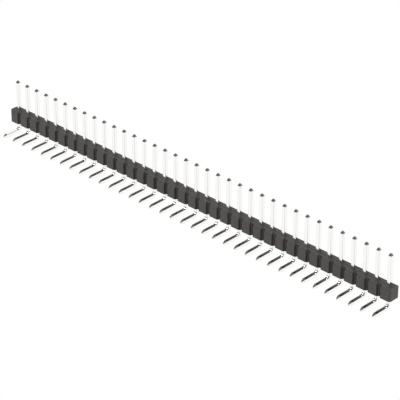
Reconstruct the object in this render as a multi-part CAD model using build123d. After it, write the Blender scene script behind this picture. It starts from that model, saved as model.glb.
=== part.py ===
from build123d import *
import os

# Right-angle pin header strip.
#
# Frame: X runs along the strip, -Y points into the circuit board, +Z is the mating
# direction.  The origin is the middle of the row of solder tails, in the plane of the
# board's surface.  All sizes are in millimetres.

# --- Row ---------------------------------------------------------------------------
POSITIONS = 36            # contacts in the row
PITCH = 2.54              # spacing of the contacts

# --- Moulded strip -----------------------------------------------------------------
STRIP_HEIGHT = 2.37       # solder side to mating side, along Z
BOARD_TO_ROW = 1.27       # board face to the axis of the mating pins, along Y
ROW_TO_BACK = 1.25        # axis of the mating pins to the back face, along Y
FRONT_NOTCH = 0.42        # depth of the 45 degree snap-off notch in the board face
BACK_NOTCH = 0.48         # depth of the 45 degree snap-off notch in the back face
END_TRIM = 0.10           # taken off each end, past the middle of the snap-off notch there
FRONT_BEVEL = 0.30        # 45 degree bevel where the board face meets the mating side
BACK_BEVEL_WIDTH = 0.50   # bevel where the back face meets the mating side, along Y
BACK_BEVEL_HEIGHT = 0.42  # the same bevel, along Z

# --- Pins --------------------------------------------------------------------------
PIN_WIDTH = 0.64          # side of the square wire
PIN_CORNER = 0.06         # radius on the wire's four long edges
PIN_FIT = 0.0             # gap on each side of a pin in its hole: pressed in, line to line
MATING_LENGTH = 5.94      # pin beyond the strip's mating side, point included
MATING_POINT = 0.43       # length of the tapered point at the mating end
MATING_FLAT = 0.20        # width of the flat at the end of that point
TAIL_OFFSET = 1.88        # axis of the solder tails to the strip's solder side, along Z
BEND_INSIDE = 0.45        # inside radius of the right-angle bend
TAIL_LENGTH = 2.80        # tail beyond the board face, point included
TAIL_POINT = 0.65         # length of the tapered point at the solder end
TAIL_FLAT = 0.24          # width of the flat at the end of that point

# --- Places that follow from the sizes ---------------------------------------------
row_y = BOARD_TO_ROW
back_y = BOARD_TO_ROW + ROW_TO_BACK
solder_side_z = TAIL_OFFSET
mating_side_z = TAIL_OFFSET + STRIP_HEIGHT
pin_top_z = mating_side_z + MATING_LENGTH
tail_end_y = -TAIL_LENGTH
bend_centre_line = BEND_INSIDE + PIN_WIDTH / 2


def pin_x(index):
    """Place of a contact along the row, the first one being index 0."""
    return (index - (POSITIONS - 1) / 2) * PITCH


def wire_section(side, corner):
    """Square wire section with rounded corners."""
    return RectangleRounded(side, side, corner)


def strip_outline():
    """Outline of the strip seen along Z: a V notch at each end of every position."""
    half = PITCH / 2
    front = []
    back = []
    for index in range(POSITIONS):
        x = pin_x(index)
        front += [
            (x - half, FRONT_NOTCH),
            (x - half + FRONT_NOTCH, 0),
            (x + half - FRONT_NOTCH, 0),
        ]
        back += [
            (x - half, back_y - BACK_NOTCH),
            (x - half + BACK_NOTCH, back_y),
            (x + half - BACK_NOTCH, back_y),
        ]
    end_x = pin_x(POSITIONS - 1) + half
    front.append((end_x, FRONT_NOTCH))
    back.append((end_x, back_y - BACK_NOTCH))
    return front + back[::-1]


def strip_section():
    """Section of the strip seen along X: a block, bevelled along both mating-side edges."""
    return [
        (0, solder_side_z),
        (0, mating_side_z - FRONT_BEVEL),
        (FRONT_BEVEL, mating_side_z),
        (back_y - BACK_BEVEL_WIDTH, mating_side_z),
        (back_y, mating_side_z - BACK_BEVEL_HEIGHT),
        (back_y, solder_side_z),
    ]


def insulator_strip():
    """The moulded strip, with a square through hole for every pin."""
    notched = extrude(Plane.XY.offset(solder_side_z) * outline_face(strip_outline()), STRIP_HEIGHT)
    length = POSITIONS * PITCH - 2 * END_TRIM
    bevelled = extrude(Plane.YZ.offset(-length / 2) * outline_face(strip_section()), length)
    hole_side = PIN_WIDTH + 2 * PIN_FIT
    hole = extrude(wire_section(hole_side, PIN_CORNER + PIN_FIT), STRIP_HEIGHT)
    holes = [Pos(pin_x(index), row_y, solder_side_z) * hole for index in range(POSITIONS)]
    return (notched & bevelled) - holes


def outline_face(points):
    """Flat face inside a closed outline."""
    return make_face(Polyline(*points, close=True))


def right_angle_pin():
    """One pin on X = 0: mating point, straight shank, bend, solder tail and its point."""
    shank_top = (0, row_y, pin_top_z - MATING_POINT)
    corner = (0, row_y, 0)
    tail_start = (0, tail_end_y + TAIL_POINT, 0)
    path = FilletPolyline(shank_top, corner, tail_start, radius=bend_centre_line)
    down = Plane(origin=shank_top, x_dir=(1, 0, 0), z_dir=(0, 0, -1))
    wire = sweep(down * wire_section(PIN_WIDTH, PIN_CORNER), path=path)
    mating_point = tapered_point(shank_top, (0, 0, 1), MATING_POINT, MATING_FLAT)
    tail_point = tapered_point(tail_start, (0, -1, 0), TAIL_POINT, TAIL_FLAT)
    return wire + mating_point + tail_point


def tapered_point(base, direction, length, flat):
    """Four-sided point from the full wire section down to a small square flat."""
    plane = Plane(origin=base, x_dir=(1, 0, 0), z_dir=direction)
    end_corner = PIN_CORNER * flat / PIN_WIDTH
    full = plane * wire_section(PIN_WIDTH, PIN_CORNER)
    small = plane.offset(length) * wire_section(flat, end_corner)
    return loft([full, small], ruled=True)


os.makedirs("parts", exist_ok=True)

export_step(insulator_strip(), "parts/insulator_strip.step")

pin = right_angle_pin()
for index in range(POSITIONS):
    export_step(Pos(pin_x(index), 0, 0) * pin, f"parts/pin_{index + 1:02d}.step")
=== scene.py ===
# %% [markdown]
# # A right-angle pin header strip
#
# The object is a black moulded strip with a row of square, tin-plated pins pressed through
# it.  Every solid already has its real shape and size when it is loaded, so this lesson is
# about the looks: where the camera stands, how a small shiny thing is lit, and how moulded
# plastic and plated wire are described to the renderer.

import math

import bpy
import numpy as np
from mathutils import Matrix, Vector


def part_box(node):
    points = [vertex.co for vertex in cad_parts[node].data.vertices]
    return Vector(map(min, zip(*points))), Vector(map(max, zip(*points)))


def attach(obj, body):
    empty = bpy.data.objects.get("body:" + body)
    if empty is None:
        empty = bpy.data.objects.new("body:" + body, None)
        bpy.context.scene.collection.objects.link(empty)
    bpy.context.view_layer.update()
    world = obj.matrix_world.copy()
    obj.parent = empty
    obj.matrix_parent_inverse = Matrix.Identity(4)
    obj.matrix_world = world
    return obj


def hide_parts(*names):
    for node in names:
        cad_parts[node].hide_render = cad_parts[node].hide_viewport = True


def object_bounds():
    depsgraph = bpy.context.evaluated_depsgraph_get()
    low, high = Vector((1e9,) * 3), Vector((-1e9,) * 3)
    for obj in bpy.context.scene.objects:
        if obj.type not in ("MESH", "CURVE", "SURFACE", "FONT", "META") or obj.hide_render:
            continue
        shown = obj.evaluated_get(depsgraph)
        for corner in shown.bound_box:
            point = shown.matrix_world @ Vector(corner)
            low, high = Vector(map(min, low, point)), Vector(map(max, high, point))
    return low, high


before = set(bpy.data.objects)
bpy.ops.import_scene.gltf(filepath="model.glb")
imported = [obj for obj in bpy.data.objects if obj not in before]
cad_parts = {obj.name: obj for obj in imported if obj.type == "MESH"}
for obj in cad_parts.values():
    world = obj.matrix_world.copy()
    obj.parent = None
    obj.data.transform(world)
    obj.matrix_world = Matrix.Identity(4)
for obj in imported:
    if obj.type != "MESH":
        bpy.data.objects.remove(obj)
cad_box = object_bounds()
MM = 0.001
box_mm = [tuple(round(c / MM, 2) for c in v) for v in cad_box]
print("pieces:", len(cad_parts), "box in mm:", box_mm)

# %% Read the main places off the solids
STRIP = "insulator_strip"
PINS = sorted(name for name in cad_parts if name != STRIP)
strip_low, strip_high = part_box(STRIP)
pin_low, pin_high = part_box(PINS[0])
pin_width = pin_high.x - pin_low.x
row_y = pin_high.y - pin_width / 2
solder_side = strip_low.z
mating_side = strip_high.z
print("pins:", len(PINS), "row at y =", round(row_y / MM, 3), "mm")

# %% [markdown]
# ## The camera
#
# The strip is seen from above its right end, along a diagonal, with a long lens from about
# four strip lengths away, so the row runs across the picture and hardly shrinks.  The camera
# is placed by two angles and a distance from the middle of the row, which is easier to judge
# and to change than three coordinates.

# %% Camera
AZIMUTH = math.radians(43.8)
ELEVATION = math.radians(29.75)
DISTANCE = 382.6 * MM
SHIFT_RIGHT = 1.48 * MM
SHIFT_UP = 0.45 * MM
LENS = 197.75

row_middle = Vector((0, row_y, solder_side))
back = Vector((
    math.sin(AZIMUTH) * math.cos(ELEVATION),
    -math.cos(AZIMUTH) * math.cos(ELEVATION),
    math.sin(ELEVATION),
))
right = Vector((math.cos(AZIMUTH), math.sin(AZIMUTH), 0))
up = back.cross(right)
camera_data = bpy.data.cameras.new("camera")
camera_data.lens = LENS
camera_data.sensor_width = 36
camera_data.clip_start = 0.01
camera_data.clip_end = 20
camera = bpy.data.objects.new("camera", camera_data)
axes = Matrix((right, up, back)).transposed().to_4x4()
axes.translation = row_middle + back * DISTANCE + right * SHIFT_RIGHT + up * SHIFT_UP
camera.matrix_world = axes
bpy.context.scene.collection.objects.link(camera)
bpy.context.scene.camera = camera
print("camera at", [round(c / MM, 1) for c in camera.location])

# %% [markdown]
# ## The stage
#
# A shiny pin shows hardly any colour of its own: it shows the room.  So the room is half of
# the material here.  A white floor fills the upright faces of the pins.  A small round lamp in
# front and to the left makes the glint in each bend, and a wider, fainter one behind lights
# the back edge.  Shiny surfaces see the rest of the room dim, which draws the small slanted
# faces of the points.  Hanging dark cards round the strip would do the same, but they would
# also take light from the plastic.  The light that falls on rough surfaces is plain and even,
# so that a colour looks about as it is written.

# %% Helper: a new material with an empty node tree
def new_material(name):
    """A material of that name, its node tree and its output node."""
    material = bpy.data.materials.new(name)
    material.use_nodes = True
    tree = material.node_tree
    tree.nodes.clear()
    output = tree.nodes.new("ShaderNodeOutputMaterial")
    return material, tree, output


# %% Helpers: one line for each arithmetic node
def feed(tree, socket, value):
    """Links a socket to another socket, or sets it to a number or a colour."""
    if isinstance(value, bpy.types.NodeSocket):
        tree.links.new(value, socket)
    else:
        socket.default_value = value


def math_node(tree, operation, *values, clamp=False):
    """The result of one Math node on up to three sockets or numbers."""
    node = tree.nodes.new("ShaderNodeMath")
    node.operation = operation
    node.use_clamp = clamp
    for socket, value in zip(node.inputs, values):
        feed(tree, socket, value)
    return node.outputs[0]


def ramp_up(tree, value, start, end):
    """Zero below start, one above end, and a smooth step between; start may be the larger."""
    node = tree.nodes.new("ShaderNodeMapRange")
    node.interpolation_type = "SMOOTHSTEP"
    feed(tree, node.inputs["Value"], value)
    node.inputs["From Min"].default_value = start
    node.inputs["From Max"].default_value = end
    return node.outputs["Result"]


def mix_colour(tree, factor, first, second):
    """The first colour where the factor is zero, the second where it is one."""
    node = tree.nodes.new("ShaderNodeMix")
    node.data_type = "RGBA"
    feed(tree, node.inputs["Factor"], factor)
    feed(tree, node.inputs["A"], first)
    feed(tree, node.inputs["B"], second)
    return node.outputs["Result"]


# %% Floor
FLOOR_SIZE = 6.0
FLOOR_GAP = 0.02 * MM
FLOOR_PAPER = (0.9, 0.9, 0.9, 1)
floor_z = cad_box[0].z - FLOOR_GAP
corners = np.array([(-1, -1), (1, -1), (1, 1), (-1, 1)]) * FLOOR_SIZE / 2
floor_mesh = bpy.data.meshes.new("floor")
floor_mesh.from_pydata([(x, y, floor_z) for x, y in corners], [], [(0, 1, 2, 3)])
floor = bpy.data.objects.new("floor", floor_mesh)
bpy.context.scene.collection.objects.link(floor)

paper, tree, output = new_material("white_paper")
plain = tree.nodes.new("ShaderNodeBsdfDiffuse")
plain.inputs["Color"].default_value = FLOOR_PAPER
glow = tree.nodes.new("ShaderNodeEmission")
glow.inputs["Strength"].default_value = 1.0
paths = tree.nodes.new("ShaderNodeLightPath")
seen = math_node(tree, "MAXIMUM", paths.outputs["Is Camera Ray"], paths.outputs["Is Glossy Ray"])
seen = math_node(tree, "MAXIMUM", seen, paths.outputs["Is Transmission Ray"])
mix = tree.nodes.new("ShaderNodeMixShader")
tree.links.new(seen, mix.inputs["Fac"])
tree.links.new(plain.outputs[0], mix.inputs[1])
tree.links.new(glow.outputs[0], mix.inputs[2])
tree.links.new(mix.outputs[0], output.inputs["Surface"])
floor_mesh.materials.append(paper)
print("floor at", round(floor_z / MM, 2), "mm")

# %% Room: plain for rough surfaces, dim and graded for shiny ones
PLAIN_LEVEL = 0.80
DIM_LEVEL = 0.20
BRIGHTER_SIDE = (0.77, 0.63, 0.11)
SIDE_STEP = 0.09
world = bpy.data.worlds.new("room")
bpy.context.scene.world = world
world.use_nodes = True
tree = world.node_tree
tree.nodes.clear()
output = tree.nodes.new("ShaderNodeOutputWorld")
direction = tree.nodes.new("ShaderNodeTexCoord")
toward_side = tree.nodes.new("ShaderNodeVectorMath")
toward_side.operation = "DOT_PRODUCT"
tree.links.new(direction.outputs["Generated"], toward_side.inputs[0])
toward_side.inputs[1].default_value = BRIGHTER_SIDE
grade = math_node(tree, "MULTIPLY_ADD", toward_side.outputs["Value"], SIDE_STEP, DIM_LEVEL)
paths = tree.nodes.new("ShaderNodeLightPath")
level = tree.nodes.new("ShaderNodeMix")
tree.links.new(paths.outputs["Is Glossy Ray"], level.inputs["Factor"])
level.inputs["A"].default_value = PLAIN_LEVEL
tree.links.new(grade, level.inputs["B"])
room = tree.nodes.new("ShaderNodeBackground")
room.inputs["Color"].default_value = (1, 1, 1, 1)
tree.links.new(level.outputs["Result"], room.inputs["Strength"])
tree.links.new(room.outputs[0], output.inputs["Surface"])
print("room:", PLAIN_LEVEL, "for rough surfaces, about", DIM_LEVEL, "for shiny ones")

# %% Two soft lamps
LAMP_DISTANCE = 0.8


def soft_lamp(name, direction, half_angle, brightness):
    """Round lamp that faces the strip, seen from it as a disc of that half angle in degrees.

    Its power is the brightness of its face times pi times the area of the disc."""
    direction = Vector(direction).normalized()
    radius = LAMP_DISTANCE * math.tan(math.radians(half_angle))
    data = bpy.data.lights.new(name, "AREA")
    data.shape = "DISK"
    data.size = 2 * radius
    data.energy = brightness * math.pi * math.pi * radius**2
    lamp = bpy.data.objects.new(name, data)
    turn = direction.to_track_quat("Z", "Y").to_matrix().to_4x4()
    lamp.matrix_world = Matrix.Translation(row_middle + direction * LAMP_DISTANCE) @ turn
    bpy.context.scene.collection.objects.link(lamp)
    print(name, round(data.energy, 2), "W, radius", round(radius, 2), "m")


soft_lamp("front_lamp", (-0.60, -0.50, 0.63), 9, 4.6)
soft_lamp("back_lamp", (-0.60, 0.70, 0.42), 17, 0.8)

# %% [markdown]
# ## The pins, with a smooth bend
#
# Each pin is square wire with its four long edges slightly rounded, bent once through a right
# angle and pointed at both ends.  The loaded solids have a coarse bend, which a shiny surface
# shows as a row of flats.  A curve object with a bevel profile would do it, but it can't
# taper to a point as neatly, so here the wire's section is carried along its path as one
# grid of points: one number says where on the section a point is, the other where on the
# path.  The new pins fill exactly the same place as the solids they stand for.

# %% Sizes of the wire
CORNER_RADIUS = 0.06 * MM
CORNER_STEPS = 8
BEND_INSIDE = 0.45 * MM
BEND_STEPS = 18
MATING_POINT = 0.43 * MM
MATING_FLAT = 0.20 * MM
TAIL_POINT = 0.65 * MM
TAIL_FLAT = 0.24 * MM
SHARPEST_SMOOTH_ANGLE = math.radians(13)
print("wire", round(pin_width / MM, 2), "mm square, bend inside", BEND_INSIDE / MM, "mm")


# %% Section of the wire
def rounded_square(side, radius, steps):
    """Points round a square of that side: each quarter circle's centre is half the side less
    the radius from the middle both ways, and its points are the centre plus the radius times
    the cosine and sine of an angle that grows by a quarter turn at every corner."""
    quarter = np.arange(4)[:, None] * math.pi / 2
    angle = (quarter + np.linspace(0, math.pi / 2, steps + 1)).ravel()
    middle = np.repeat(quarter.ravel() + math.pi / 4, steps + 1)
    reach = side / 2 - radius
    across = np.sign(np.cos(middle)) * reach + radius * np.cos(angle)
    along = np.sign(np.sin(middle)) * reach + radius * np.sin(angle)
    return np.stack([across, along], axis=1)


section = rounded_square(pin_width, CORNER_RADIUS, CORNER_STEPS)
print("points round the wire:", len(section))


# %% Path of the wire in the plane of the bend
def wire_path(top, tail_end):
    """Places (y, z), directions across the wire and sizes, from the mating end to the tail.

    The straight parts are straight.  In the bend, the angle t goes from zero to a quarter
    turn, the place is the bend's centre plus its radius times (cos t, -sin t), and the
    direction across the wire is (cos t, -sin t) too."""
    radius = BEND_INSIDE + pin_width / 2
    centre = np.array([row_y - radius, radius])
    turn = np.linspace(0, math.pi / 2, BEND_STEPS + 1)
    outward = np.stack([np.cos(turn), -np.sin(turn)], axis=1)
    places = np.vstack([
        [(row_y, top), (row_y, top - MATING_POINT)],
        centre + radius * outward,
        [(tail_end + TAIL_POINT, 0), (tail_end, 0)],
    ])
    across = np.vstack([[(1, 0)] * 2, outward, [(0, -1)] * 2])
    size = np.ones(len(places))
    size[0] = MATING_FLAT / pin_width
    size[-1] = TAIL_FLAT / pin_width
    return places, across, size


places, across, size = wire_path(pin_high.z, pin_low.y)
print("rings along the wire:", len(places))


# %% One mesh for each pin
def wire_mesh(name, x):
    """The grid of rings: x is the pin's place plus the section's first number times the size;
    (y, z) is the path's place plus the section's second number times the size, outwards."""
    rings, around = len(places), len(section)
    offset = size[:, None, None] * section[None, :, :]
    points = np.empty((rings, around, 3))
    points[:, :, 0] = x + offset[:, :, 0]
    points[:, :, 1:] = places[:, None, :] + offset[:, :, 1:2] * across[:, None, :]
    number = np.arange(rings * around).reshape(rings, around)
    following = np.roll(number, -1, axis=1)
    quads = np.stack([number[:-1], following[:-1], following[1:], number[1:]], axis=-1)
    ends = [number[0][::-1].tolist(), number[-1].tolist()]
    mesh = bpy.data.meshes.new(name)
    mesh.from_pydata(points.reshape(-1, 3).tolist(), [], quads.reshape(-1, 4).tolist() + ends)
    mesh.polygons.foreach_set("use_smooth", np.ones(len(mesh.polygons), dtype=bool))
    mesh.set_sharp_from_angle(angle=SHARPEST_SMOOTH_ANGLE)
    return mesh


wires = []
for name in PINS:
    low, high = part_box(name)
    mesh = wire_mesh("wire_" + name[4:], (low.x + high.x) / 2)
    wire = bpy.data.objects.new(mesh.name, mesh)
    bpy.context.scene.collection.objects.link(wire)
    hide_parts(name)
    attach(wire, "root")
    wires.append(wire)
print("wires:", len(wires), "faces each:", len(wires[0].data.polygons))

# %% [markdown]
# ## Where am I on the strip?
#
# Both finishes change with the place: the plastic carries painted shade inside its snap-off
# notches, and the wire carries a painted reflection on its corners and painted shade inside
# its bend.  The places repeat with the contacts, so one small group of nodes works them out
# for every material: how far a point is from the nearest contact along the row, and its place
# in millimetres.  A second group makes the mottle that both finishes have, a slow one and a
# fine one.  Each material could hold its own copy of these nodes, but a group is built once
# and mended once.

# %% Group: place along the row
PITCH = (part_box(PINS[-1])[0].x - pin_low.x) / (len(PINS) - 1)


def new_group(name, inputs, outputs):
    """An empty node group with these named sockets, its input node and its output node."""
    group = bpy.data.node_groups.new(name, "ShaderNodeTree")
    for socket_name, kind, start in inputs:
        socket = group.interface.new_socket(socket_name, in_out="INPUT", socket_type=kind)
        if start is not None:
            socket.default_value = start
    for socket_name, kind in outputs:
        group.interface.new_socket(socket_name, in_out="OUTPUT", socket_type=kind)
    return group, group.nodes.new("NodeGroupInput"), group.nodes.new("NodeGroupOutput")


place_group, _, leave = new_group(
    "place_on_strip",
    [],
    [("From Contact", "NodeSocketFloat"), ("X", "NodeSocketFloat"), ("Y", "NodeSocketFloat"),
     ("Z", "NodeSocketFloat"), ("Millimetres", "NodeSocketVector")],
)
own = place_group.nodes.new("ShaderNodeTexCoord")
in_mm = place_group.nodes.new("ShaderNodeVectorMath")
in_mm.operation = "SCALE"
in_mm.inputs["Scale"].default_value = 1 / MM
place_group.links.new(own.outputs["Object"], in_mm.inputs[0])
split = place_group.nodes.new("ShaderNodeSeparateXYZ")
place_group.links.new(in_mm.outputs[0], split.inputs[0])
shifted = math_node(place_group, "ADD", split.outputs["X"], PITCH / MM / 2)
from_contact = math_node(place_group, "PINGPONG", shifted, PITCH / MM / 2)
place_group.links.new(from_contact, leave.inputs["From Contact"])
for axis in "XYZ":
    place_group.links.new(split.outputs[axis], leave.inputs[axis])
place_group.links.new(in_mm.outputs[0], leave.inputs["Millimetres"])
print("contact spacing", round(PITCH / MM, 3), "mm")

# %% Group: two sizes of mottle
mottle_group, entry, leave = new_group(
    "mottle",
    [("Vector", "NodeSocketVector", None), ("Coarse", "NodeSocketFloat", 1.0),
     ("Fine", "NodeSocketFloat", 8.0)],
    [("Coarse", "NodeSocketFloat"), ("Fine", "NodeSocketFloat")],
)
for grain in ("Coarse", "Fine"):
    noise = mottle_group.nodes.new("ShaderNodeTexNoise")
    noise.inputs["Detail"].default_value = 3
    mottle_group.links.new(entry.outputs["Vector"], noise.inputs["Vector"])
    mottle_group.links.new(entry.outputs[grain], noise.inputs["Scale"])
    mottle_group.links.new(noise.outputs["Fac"], leave.inputs[grain])


def place_and_mottle(tree, coarse, fine):
    """The two groups in one material: the place's sockets and the mottle's."""
    place = tree.nodes.new("ShaderNodeGroup")
    place.node_tree = place_group
    mottle = tree.nodes.new("ShaderNodeGroup")
    mottle.node_tree = mottle_group
    tree.links.new(place.outputs["Millimetres"], mottle.inputs["Vector"])
    mottle.inputs["Coarse"].default_value = coarse
    mottle.inputs["Fine"].default_value = fine
    return place.outputs, mottle.outputs


print("groups:", place_group.name, mottle_group.name)


# %% [markdown]
# ## Moulded black plastic
#
# Header strips are moulded in glass-filled nylon or polyester.  It is a warm near-black with
# a soft sheen and a fine grain.  One flat colour would look like paint, so a slow mottle
# changes the tint along the row and a fine one breaks up the sheen.  The snap-off notches are
# duller and carry painted shade, the mating side carries painted light that makes it lighter,
# and a thin dark line between the pins is a painted shadow.  All of it is mixed from masks,
# which are numbers from zero to one made from the place, so that no image has to be drawn
# or unwrapped.

# %% Places on the moulded strip, in millimetres
NOTCH = 0.42
SHADOW_LINE_Y = 1.06
half_pitch = PITCH / MM / 2
row_mm = row_y / MM
top_mm = mating_side / MM
front_mm = strip_low.y / MM
end_mm = strip_high.x / MM
print("mating side at z =", round(top_mm, 2), "mm, ends at x =", round(end_mm, 2), "mm")

# %% Plastic: mask of the painted shade in the notches
PLASTIC_PATCHES = 0.16
PLASTIC_GRAIN = 9.0
plastic, tree, output = new_material("moulded_black_plastic")
place, mottle = place_and_mottle(tree, PLASTIC_PATCHES, PLASTIC_GRAIN)
notch_edge = half_pitch - NOTCH
beside_notch = ramp_up(tree, place["From Contact"], notch_edge - 0.03, notch_edge + 0.03)
notch_bottom = ramp_up(tree, place["From Contact"], half_pitch - 0.14, half_pitch - 0.24)
in_front = ramp_up(tree, place["Y"], front_mm + NOTCH + 0.06, front_mm + NOTCH - 0.02)
from_middle = math_node(tree, "ABSOLUTE", place["X"])
not_at_end = ramp_up(tree, from_middle, end_mm - 0.1, end_mm - 0.7)
# Painted shade: this mask darkens the notches' colour, most towards their bottom, and also makes
# them rougher.
notch_shade_and_dullness = math_node(tree, "MULTIPLY", beside_notch, in_front)
notch_shade_and_dullness = math_node(tree, "MULTIPLY", notch_shade_and_dullness, not_at_end)
notch_depth = math_node(tree, "MULTIPLY_ADD", notch_bottom, 0.65, 0.15)
notch_shade_and_dullness = math_node(tree, "MULTIPLY", notch_shade_and_dullness, notch_depth)
print("notches darken within", NOTCH, "mm of each end of a position")

# %% Plastic: masks of the mating side and the painted shadow line between the pins
# A painted shadow: a thin dark line on the mating side between the pins, wavering a little.
waver = math_node(tree, "MULTIPLY_ADD", mottle["Fine"], 0.16, -0.08)
line_y = math_node(tree, "ADD", place["Y"], waver)
off_line = math_node(tree, "ABSOLUTE", math_node(tree, "SUBTRACT", line_y, SHADOW_LINE_Y))
on_line = ramp_up(tree, off_line, 0.20, 0.03)
between = ramp_up(tree, place["From Contact"], 0.55, 0.85)
on_top = ramp_up(tree, place["Z"], top_mm - 0.30, top_mm - 0.02)
painted_shadow = math_node(tree, "MULTIPLY", math_node(tree, "MULTIPLY", on_line, between), on_top)
# The print below gives the place of the painted shadow line.
print("knit line at y =", SHADOW_LINE_Y, "mm")

# %% Plastic: colour, roughness and relief
WARM_BLACK = (0.062, 0.050, 0.048, 1)
OLIVE_BLACK = (0.057, 0.052, 0.045, 1)
PAINTED_SHADE_BLACK = (0.014, 0.011, 0.008, 1)
PAINTED_TOP_LIGHT = (0.088, 0.083, 0.077, 1)
GLASS_SPECK = (0.075, 0.071, 0.068, 1)
tint = ramp_up(tree, mottle["Coarse"], 0.40, 0.60)
colour = mix_colour(tree, tint, OLIVE_BLACK, WARM_BLACK)
speck = ramp_up(tree, mottle["Fine"], 0.30, 0.75)
colour = mix_colour(tree, math_node(tree, "MULTIPLY", speck, 0.35), colour, GLASS_SPECK)
# Painted light: the mating side on top is lightened, standing in for the way light falls on it.
colour = mix_colour(tree, math_node(tree, "MULTIPLY", on_top, 0.75), colour, PAINTED_TOP_LIGHT)
# The painted shadow line between the pins.
colour = mix_colour(tree, math_node(tree, "MULTIPLY", painted_shadow, 0.60), colour, PAINTED_SHADE_BLACK)
# Painted shade in the snap-off notches.
colour = mix_colour(tree, notch_shade_and_dullness, colour, PAINTED_SHADE_BLACK)
rough = math_node(tree, "MULTIPLY_ADD", mottle["Fine"], 0.25, 0.36)
rough = math_node(tree, "MULTIPLY_ADD", notch_shade_and_dullness, 0.35, rough, clamp=True)
bump = tree.nodes.new("ShaderNodeBump")
bump.inputs["Strength"].default_value = 0.35
bump.inputs["Distance"].default_value = 0.02 * MM
tree.links.new(mottle["Fine"], bump.inputs["Height"])
surface = tree.nodes.new("ShaderNodeBsdfPrincipled")
surface.inputs["Specular IOR Level"].default_value = 0.5
feed(tree, surface.inputs["Base Color"], colour)
feed(tree, surface.inputs["Roughness"], rough)
tree.links.new(bump.outputs[0], surface.inputs["Normal"])
tree.links.new(surface.outputs[0], output.inputs["Surface"])
print("plastic nodes:", len(tree.nodes))

# %% [markdown]
# ## Tin-plated wire
#
# The pins are square brass wire with a bright tin plating.  Tin is a pale, slightly warm
# metal, and a plated wire is satin rather than a mirror.  The wire's long corners are greyed
# as a painted reflection, and darker still inside the bend, where painted shade rings the
# glint.  The points are pressed or sheared after plating, so their slanted faces are duller
# and a little brassy; they are also darkened, partly for the sheared surface and partly as
# painted shade.  The corners are found from the distance to the middle of the wire, which is
# a straight line at both ends and a quarter circle in the bend.

# %% Wire: how far from its middle
TIN_CLOUDS = 0.9
TIN_GRAIN = 14.0
tin, tree, output = new_material("tin_plated_wire")
place, mottle = place_and_mottle(tree, TIN_CLOUDS, TIN_GRAIN)
half_wire = pin_width / MM / 2
bend_mm = BEND_INSIDE / MM + half_wire
bend_y = row_mm - bend_mm
from_row = math_node(tree, "ABSOLUTE", math_node(tree, "SUBTRACT", place["Y"], row_mm))
from_tail = math_node(tree, "ABSOLUTE", place["Z"])
y_part = math_node(tree, "SUBTRACT", place["Y"], bend_y)
z_part = math_node(tree, "SUBTRACT", place["Z"], bend_mm)
y_square = math_node(tree, "MULTIPLY", y_part, y_part)
squares = math_node(tree, "MULTIPLY_ADD", z_part, z_part, y_square)
from_bend = math_node(tree, "SUBTRACT", math_node(tree, "SQRT", squares), bend_mm)
standing = math_node(tree, "GREATER_THAN", place["Z"], bend_mm)
lying = math_node(tree, "LESS_THAN", place["Y"], bend_y)
off_middle = tree.nodes.new("ShaderNodeMix")
feed(tree, off_middle.inputs["Factor"], standing)
feed(tree, off_middle.inputs["A"], math_node(tree, "ABSOLUTE", from_bend))
feed(tree, off_middle.inputs["B"], from_row)
off_centre = tree.nodes.new("ShaderNodeMix")
feed(tree, off_centre.inputs["Factor"], lying)
feed(tree, off_centre.inputs["A"], off_middle.outputs["Result"])
feed(tree, off_centre.inputs["B"], from_tail)
print("half the wire:", round(half_wire, 2), "mm, middle of the bend:", round(bend_mm, 2), "mm")

# %% Wire: masks of its corners
CORNER_BAND = 0.11
BEND_BAND = 0.20
side_x = ramp_up(tree, place["From Contact"], half_wire - CORNER_BAND, half_wire - 0.02)
across_wire = off_centre.outputs["Result"]
side_across = ramp_up(tree, across_wire, half_wire - CORNER_BAND, half_wire - 0.02)
# Painted reflection: this corner mask greys the wire's long corners.
corner = math_node(tree, "MULTIPLY", side_x, side_across)
straight = math_node(tree, "MAXIMUM", standing, lying)
# Painted shade: the inside of the bend near the wire's sides, darkened round the glint.
bend_side = ramp_up(tree, place["From Contact"], half_wire - BEND_BAND, half_wire - 0.06)
inside_bend = ramp_up(tree, from_bend, 0.06 - half_wire, 0.01 - half_wire)
bend_shade = math_node(tree, "MULTIPLY", bend_side, inside_bend)
bend_shade = math_node(tree, "MULTIPLY", bend_shade, math_node(tree, "SUBTRACT", 1.0, straight))
print("corner bands:", CORNER_BAND, "mm, and", BEND_BAND, "mm inside the bend")

# %% Wire: masks of its points
point_start = (pin_high.z - MATING_POINT) / MM
tail_end_mm = pin_low.y / MM
tail_start = tail_end_mm + TAIL_POINT / MM
at_top = ramp_up(tree, place["Z"], point_start - 0.02, point_start + 0.04)
at_tail = ramp_up(tree, place["Y"], tail_start + 0.05, tail_start - 0.25)
# Painted shade: the upward faces of the tail point are darkened below.
above_side = math_node(tree, "SUBTRACT", place["Z"], place["From Contact"])
tail_top_shade = ramp_up(tree, above_side, -0.04, 0.03)
tail_top_shade = math_node(tree, "MULTIPLY", at_tail, tail_top_shade)
tail_cut = ramp_up(tree, place["Y"], tail_end_mm + 0.08, tail_end_mm + 0.02)
# Darkened points: the sheared cut at the tail end, and painted shade on the upward faces and the
# mating point.
tail_shear_and_shade = math_node(tree, "MAXIMUM", tail_top_shade, tail_cut)
point_shear_and_shade = math_node(tree, "MAXIMUM", at_top, tail_shear_and_shade)
point = math_node(tree, "MAXIMUM", at_top, at_tail)
print("points start at z =", round(point_start, 2), "mm and y =", round(tail_start, 2), "mm")

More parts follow.
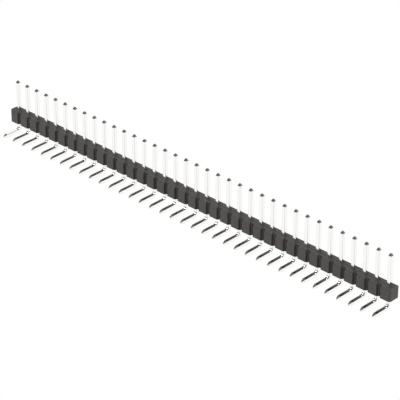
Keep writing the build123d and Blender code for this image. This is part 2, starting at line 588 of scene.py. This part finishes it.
# %% Wire: colour and roughness
TIN = (0.955, 0.950, 0.925, 1)
CLOUDY_TIN = (0.91, 0.915, 0.90, 1)
PAINTED_CORNER_REFLECTION = (0.55, 0.55, 0.53, 1)
PAINTED_BEND_SHADE = (0.22, 0.21, 0.185, 1)
SHEARED_AND_SHADED = (0.60, 0.565, 0.50, 1)
BRASSY = (0.93, 0.88, 0.80, 1)
cloudy = ramp_up(tree, mottle["Coarse"], 0.35, 0.70)
colour = mix_colour(tree, math_node(tree, "MULTIPLY", cloudy, 0.5), TIN, CLOUDY_TIN)
# Painted reflection on the long corners.
colour = mix_colour(tree, math_node(tree, "MULTIPLY", corner, 0.35), colour, PAINTED_CORNER_REFLECTION)
# Painted shade inside the bend.
colour = mix_colour(tree, math_node(tree, "MULTIPLY", bend_shade, 0.7), colour, PAINTED_BEND_SHADE)
colour = mix_colour(tree, math_node(tree, "MULTIPLY", at_tail, 0.8), colour, BRASSY)
# The points darkened: partly the duller sheared surface, partly painted shade.
colour = mix_colour(tree, math_node(tree, "MULTIPLY", point_shear_and_shade, 0.8), colour, SHEARED_AND_SHADED)
rough = math_node(tree, "MULTIPLY_ADD", mottle["Fine"], 0.10, 0.07)
rough = math_node(tree, "MULTIPLY_ADD", point, 0.10, rough, clamp=True)
bump = tree.nodes.new("ShaderNodeBump")
bump.inputs["Strength"].default_value = 0.15
bump.inputs["Distance"].default_value = 0.01 * MM
tree.links.new(mottle["Fine"], bump.inputs["Height"])
surface = tree.nodes.new("ShaderNodeBsdfPrincipled")
surface.inputs["Metallic"].default_value = 1.0
feed(tree, surface.inputs["Base Color"], colour)
feed(tree, surface.inputs["Roughness"], rough)
tree.links.new(bump.outputs[0], surface.inputs["Normal"])
tree.links.new(surface.outputs[0], output.inputs["Surface"])
print("wire nodes:", len(tree.nodes))
for wire in wires:
    wire.data.materials.append(tin)


# %% Give the strip its finish
strip_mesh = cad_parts[STRIP].data
if not strip_mesh.materials:
    strip_mesh.materials.append(plastic)
for index in range(len(strip_mesh.materials)):
    strip_mesh.materials[index] = plastic
print(STRIP, "faces:", len(strip_mesh.polygons))

# %% [markdown]
# ## Closing
#
# The plain view transform shows a colour as it is written, where a filmic one would grey the
# white floor.

bpy.context.scene.view_settings.view_transform = "Standard"
